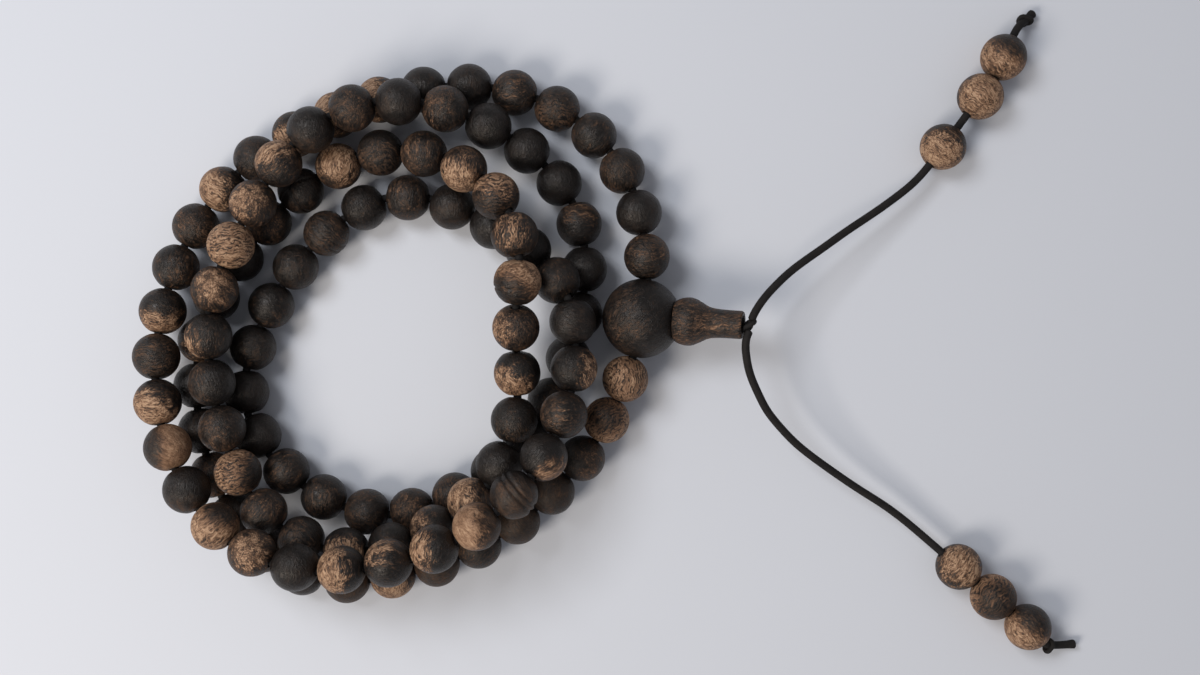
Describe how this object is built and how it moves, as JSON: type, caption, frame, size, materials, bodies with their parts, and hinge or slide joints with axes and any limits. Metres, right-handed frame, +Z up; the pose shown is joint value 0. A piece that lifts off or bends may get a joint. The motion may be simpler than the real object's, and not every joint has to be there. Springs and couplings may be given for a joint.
{
  "type": "mala prayer beads",
  "caption": "Mala: a loop of small round wooden beads coiled flat, with a large bead, a tower bead and two corded tails that carry sliding counting beads.",
  "frame": {"origin": "the middle of the loop, large bead and tower seen from above, on the surface that they lie on", "axes": "+X from the loop towards the tower and tails, +Z up from the surface"},
  "size_m": [0.1221, 0.0841, 0.0175],
  "materials": {
    "agarwood_dark": "polished dark resinous wood, satin",
    "agarwood_brown": "polished brown wood with dark streaks, satin",
    "agarwood_tan": "polished light wood with fine dark grain, satin",
    "guru_wood": "polished mottled brown wood, satin",
    "counter_wood": "polished light wood with fine grain, satin",
    "cord_black": "matt black round cord"
  },
  "bodies": {
    "loop": {"strand_cord": "cord_black", "guru_bead": "guru_wood", "core_cord": "cord_black", "tail_knot": "cord_black", "tail_cord_upper": "cord_black", "tail_cord_lower": "cord_black", "end_knot_upper": "cord_black", "end_knot_lower": "cord_black", "beads_009_to_014": "agarwood_brown", "beads_034_to_050": "agarwood_dark", "beads_051_to_059": "agarwood_brown", "beads_060_to_077": "agarwood_brown", "beads_088_to_106": "agarwood_brown"},
    "tower": {"tower_bead": "guru_wood"},
    "spinning_bead_001": {"bead_001": "agarwood_dark"},
    "spinning_bead_002": {"bead_002": "agarwood_dark"},
    "spinning_bead_003": {"bead_003": "agarwood_brown"},
    "spinning_bead_004": {"bead_004": "agarwood_dark"},
    "spinning_bead_005": {"bead_005": "agarwood_dark"},
    "spinning_bead_006": {"bead_006": "agarwood_brown"},
    "spinning_bead_007": {"bead_007": "agarwood_dark"},
    "spinning_bead_008": {"bead_008": "agarwood_dark"},
    "spinning_bead_015": {"bead_015": "agarwood_dark"},
    "spinning_bead_016": {"bead_016": "agarwood_dark"},
    "spinning_bead_017": {"bead_017": "agarwood_brown"},
    "spinning_bead_018": {"bead_018": "agarwood_dark"},
    "spinning_bead_019": {"bead_019": "agarwood_brown"},
    "spinning_bead_020": {"bead_020": "agarwood_dark"},
    "spinning_bead_021": {"bead_021": "agarwood_tan"},
    "spinning_bead_022": {"bead_022": "agarwood_brown"},
    "spinning_bead_023": {"bead_023": "agarwood_dark"},
    "spinning_bead_024": {"bead_024": "agarwood_brown"},
    "spinning_bead_025": {"bead_025": "agarwood_dark"},
    "spinning_bead_026": {"bead_026": "agarwood_brown"},
    "spinning_bead_027": {"bead_027": "agarwood_brown"},
    "spinning_bead_028": {"bead_028": "agarwood_dark"},
    "spinning_bead_029": {"bead_029": "agarwood_dark"},
    "spinning_bead_030": {"bead_030": "agarwood_dark"},
    "spinning_bead_031": {"bead_031": "agarwood_dark"},
    "spinning_bead_032": {"bead_032": "agarwood_dark"},
    "spinning_bead_033": {"bead_033": "agarwood_dark"},
    "spinning_bead_078": {"bead_078": "agarwood_dark"},
    "spinning_bead_079": {"bead_079": "agarwood_dark"},
    "spinning_bead_080": {"bead_080": "agarwood_brown"},
    "spinning_bead_081": {"bead_081": "agarwood_brown"},
    "spinning_bead_082": {"bead_082": "agarwood_tan"},
    "spinning_bead_083": {"bead_083": "agarwood_tan"},
    "spinning_bead_084": {"bead_084": "agarwood_brown"},
    "spinning_bead_085": {"bead_085": "agarwood_tan"},
    "spinning_bead_086": {"bead_086": "agarwood_dark"},
    "spinning_bead_087": {"bead_087": "agarwood_brown"},
    "spinning_bead_107": {"bead_107": "agarwood_brown"},
    "spinning_bead_108": {"bead_108": "agarwood_tan"},
    "upper_counter_inner_slider": {"upper_counter_inner": "counter_wood"},
    "upper_counter_middle_slider": {"upper_counter_middle": "counter_wood"},
    "upper_counter_outer_slider": {"upper_counter_outer": "counter_wood"},
    "lower_counter_inner_slider": {"lower_counter_inner": "counter_wood"},
    "lower_counter_middle_slider": {"lower_counter_middle": "counter_wood"},
    "lower_counter_outer_slider": {"lower_counter_outer": "counter_wood"}
  },
  "joints": [
    {"name": "tower_spin", "type": "hinge", "parent": "loop", "child": "tower", "pos_m": [0.02554, 0.00194, 0.0051], "axis": [0.9589, -0.0671, 0.2756], "continuous": true},
    {"name": "spin_001", "type": "hinge", "parent": "loop", "child": "spinning_bead_001", "pos_m": [0.02624, 0.00989, 0.00464], "axis": [-0.1079, 0.9819, -0.1554], "continuous": true},
    {"name": "spin_002", "type": "hinge", "parent": "loop", "child": "spinning_bead_002", "pos_m": [0.02523, 0.01568, 0.0038], "axis": [-0.2296, 0.9647, -0.1287], "continuous": true},
    {"name": "spin_003", "type": "hinge", "parent": "loop", "child": "spinning_bead_003", "pos_m": [0.02307, 0.02113, 0.00323], "axis": [-0.4972, 0.8656, -0.0601], "continuous": true},
    {"name": "spin_004", "type": "hinge", "parent": "loop", "child": "spinning_bead_004", "pos_m": [0.01943, 0.02576, 0.00302], "axis": [-0.7242, 0.6895, -0.0103], "continuous": true},
    {"name": "spin_005", "type": "hinge", "parent": "loop", "child": "spinning_bead_005", "pos_m": [0.01463, 0.02921, 0.003], "axis": [-0.884, 0.4675, 0.0014], "continuous": true},
    {"name": "spin_006", "type": "hinge", "parent": "loop", "child": "spinning_bead_006", "pos_m": [0.00911, 0.0313, 0.003], "axis": [-0.9723, 0.2338, 0], "continuous": true},
    {"name": "spin_007", "type": "hinge", "parent": "loop", "child": "spinning_bead_007", "pos_m": [0.00324, 0.03207, 0.003], "axis": [-0.9997, 0.0257, 0], "continuous": true},
    {"name": "spin_008", "type": "hinge", "parent": "loop", "child": "spinning_bead_008", "pos_m": [-0.00266, 0.03169, 0.003], "axis": [-0.9879, -0.1549, 0], "continuous": true},
    {"name": "spin_015", "type": "hinge", "parent": "loop", "child": "spinning_bead_015", "pos_m": [-0.0345, 0.00855, 0.00428], "axis": [-0.3028, -0.938, 0.1687], "continuous": true},
    {"name": "spin_016", "type": "hinge", "parent": "loop", "child": "spinning_bead_016", "pos_m": [-0.03586, 0.00288, 0.00534], "axis": [-0.1527, -0.9699, 0.1895], "continuous": true},
    {"name": "spin_017", "type": "hinge", "parent": "loop", "child": "spinning_bead_017", "pos_m": [-0.0363, -0.00291, 0.00648], "axis": [0.004, -0.9811, 0.1933], "continuous": true},
    {"name": "spin_018", "type": "hinge", "parent": "loop", "child": "spinning_bead_018", "pos_m": [-0.03576, -0.0087, 0.00761], "axis": [0.1758, -0.9667, 0.1858], "continuous": true},
    {"name": "spin_019", "type": "hinge", "parent": "loop", "child": "spinning_bead_019", "pos_m": [-0.03419, -0.01432, 0.0086], "axis": [0.3522, -0.9239, 0.1492], "continuous": true},
    {"name": "spin_020", "type": "hinge", "parent": "loop", "child": "spinning_bead_020", "pos_m": [-0.03154, -0.01955, 0.00939], "axis": [0.5388, -0.8344, 0.1157], "continuous": true},
    {"name": "spin_021", "type": "hinge", "parent": "loop", "child": "spinning_bead_021", "pos_m": [-0.02773, -0.02398, 0.01023], "axis": [0.7391, -0.653, 0.1652], "continuous": true},
    {"name": "spin_022", "type": "hinge", "parent": "loop", "child": "spinning_bead_022", "pos_m": [-0.02287, -0.02712, 0.01136], "axis": [0.8917, -0.399, 0.2137], "continuous": true},
    {"name": "spin_023", "type": "hinge", "parent": "loop", "child": "spinning_bead_023", "pos_m": [-0.0173, -0.02873, 0.01246], "axis": [0.9775, -0.1424, 0.1558], "continuous": true},
    {"name": "spin_024", "type": "hinge", "parent": "loop", "child": "spinning_bead_024", "pos_m": [-0.01144, -0.02892, 0.01318], "axis": [0.993, 0.0811, 0.0862], "continuous": true},
    {"name": "spin_025", "type": "hinge", "parent": "loop", "child": "spinning_bead_025", "pos_m": [-0.0056, -0.02802, 0.0137], "axis": [0.9713, 0.2215, 0.0872], "continuous": true},
    {"name": "spin_026", "type": "hinge", "parent": "loop", "child": "spinning_bead_026", "pos_m": [0.00003, -0.02624, 0.01421], "axis": [0.9221, 0.3774, 0.0851], "continuous": true},
    {"name": "spin_027", "type": "hinge", "parent": "loop", "child": "spinning_bead_027", "pos_m": [0.00522, -0.02343, 0.01453], "axis": [0.8236, 0.5667, 0.0225], "continuous": true},
    {"name": "spin_028", "type": "hinge", "parent": "loop", "child": "spinning_bead_028", "pos_m": [0.00972, -0.01964, 0.01405], "axis": [0.685, 0.7049, -0.1843], "continuous": true},
    {"name": "spin_029", "type": "hinge", "parent": "loop", "child": "spinning_bead_029", "pos_m": [0.01327, -0.01517, 0.01251], "axis": [0.5081, 0.7945, -0.3324], "continuous": true},
    {"name": "spin_030", "type": "hinge", "parent": "loop", "child": "spinning_bead_030", "pos_m": [0.0157, -0.01008, 0.01076], "axis": [0.3079, 0.9171, -0.2531], "continuous": true},
    {"name": "spin_031", "type": "hinge", "parent": "loop", "child": "spinning_bead_031", "pos_m": [0.01693, -0.0044, 0.00969], "axis": [0.1047, 0.9888, -0.1061], "continuous": true},
    {"name": "spin_032", "type": "hinge", "parent": "loop", "child": "spinning_bead_032", "pos_m": [0.01677, 0.0015, 0.0091], "axis": [-0.157, 0.9831, -0.0939], "continuous": true},
    {"name": "spin_033", "type": "hinge", "parent": "loop", "child": "spinning_bead_033", "pos_m": [0.01473, 0.00673, 0.00769], "axis": [-0.5255, 0.7628, -0.3768], "continuous": true},
    {"name": "spin_078", "type": "hinge", "parent": "loop", "child": "spinning_bead_078", "pos_m": [0.00757, -0.01643, 0.00913], "axis": [0.4717, 0.8818, -0.0032], "continuous": true},
    {"name": "spin_079", "type": "hinge", "parent": "loop", "child": "spinning_bead_079", "pos_m": [0.00942, -0.01087, 0.00876], "axis": [0.151, 0.9811, -0.1209], "continuous": true},
    {"name": "spin_080", "type": "hinge", "parent": "loop", "child": "spinning_bead_080", "pos_m": [0.00977, -0.00496, 0.00844], "axis": [-0.0345, 0.9993, 0.0134], "continuous": true},
    {"name": "spin_081", "type": "hinge", "parent": "loop", "child": "spinning_bead_081", "pos_m": [0.0097, 0.00072, 0.00977], "axis": [0.0097, 0.9023, 0.4309], "continuous": true},
    {"name": "spin_082", "type": "hinge", "parent": "loop", "child": "spinning_bead_082", "pos_m": [0.01, 0.00638, 0.01151], "axis": [0.0907, 0.9847, 0.1488], "continuous": true},
    {"name": "spin_083", "type": "hinge", "parent": "loop", "child": "spinning_bead_083", "pos_m": [0.00962, 0.01217, 0.01128], "axis": [-0.2162, 0.9503, -0.2241], "continuous": true},
    {"name": "spin_084", "type": "hinge", "parent": "loop", "child": "spinning_bead_084", "pos_m": [0.00718, 0.01719, 0.00957], "axis": [-0.5967, 0.7234, -0.3474], "continuous": true},
    {"name": "spin_085", "type": "hinge", "parent": "loop", "child": "spinning_bead_085", "pos_m": [0.00297, 0.02085, 0.00757], "axis": [-0.8077, 0.4964, -0.318], "continuous": true},
    {"name": "spin_086", "type": "hinge", "parent": "loop", "child": "spinning_bead_086", "pos_m": [-0.00228, 0.02298, 0.00592], "axis": [-0.9485, 0.2147, -0.2331], "continuous": true},
    {"name": "spin_087", "type": "hinge", "parent": "loop", "child": "spinning_bead_087", "pos_m": [-0.00804, 0.02327, 0.00471], "axis": [-0.9777, -0.119, -0.1729], "continuous": true},
    {"name": "spin_107", "type": "hinge", "parent": "loop", "child": "spinning_bead_107", "pos_m": [0.02106, -0.01118, 0.00377], "axis": [0.4504, 0.8842, 0.1236], "continuous": true},
    {"name": "spin_108", "type": "hinge", "parent": "loop", "child": "spinning_bead_108", "pos_m": [0.02346, -0.00582, 0.00462], "axis": [0.3579, 0.9196, 0.162], "continuous": true},
    {"name": "upper_counter_inner_slide", "type": "slide", "parent": "loop", "child": "upper_counter_inner_slider", "axis": [0.5958, 0.8031, 0], "range_m": [-0.0015, 0.0012]},
    {"name": "upper_counter_middle_slide", "type": "slide", "parent": "loop", "child": "upper_counter_middle_slider", "axis": [0.5958, 0.8031, 0], "range_m": [-0.0009, 0]},
    {"name": "upper_counter_outer_slide", "type": "slide", "parent": "loop", "child": "upper_counter_outer_slider", "axis": [0.4116, 0.9114, 0], "range_m": [0, 0.0009]},
    {"name": "lower_counter_inner_slide", "type": "slide", "parent": "loop", "child": "lower_counter_inner_slider", "axis": [0.7557, -0.6549, 0], "range_m": [-0.0045, 0]},
    {"name": "lower_counter_middle_slide", "type": "slide", "parent": "loop", "child": "lower_counter_middle_slider", "axis": [0.7557, -0.6549, 0], "range_m": [-0.0045, 0]},
    {"name": "lower_counter_outer_slide", "type": "slide", "parent": "loop", "child": "lower_counter_outer_slider", "axis": [0.7557, -0.6549, 0], "range_m": [-0.0045, 0]}
  ],
  "couplings": [
    {"joint": "lower_counter_middle_slide", "follows": "lower_counter_outer_slide", "ratio": 1},
    {"joint": "lower_counter_inner_slide", "follows": "lower_counter_outer_slide", "ratio": 1}
  ]
}
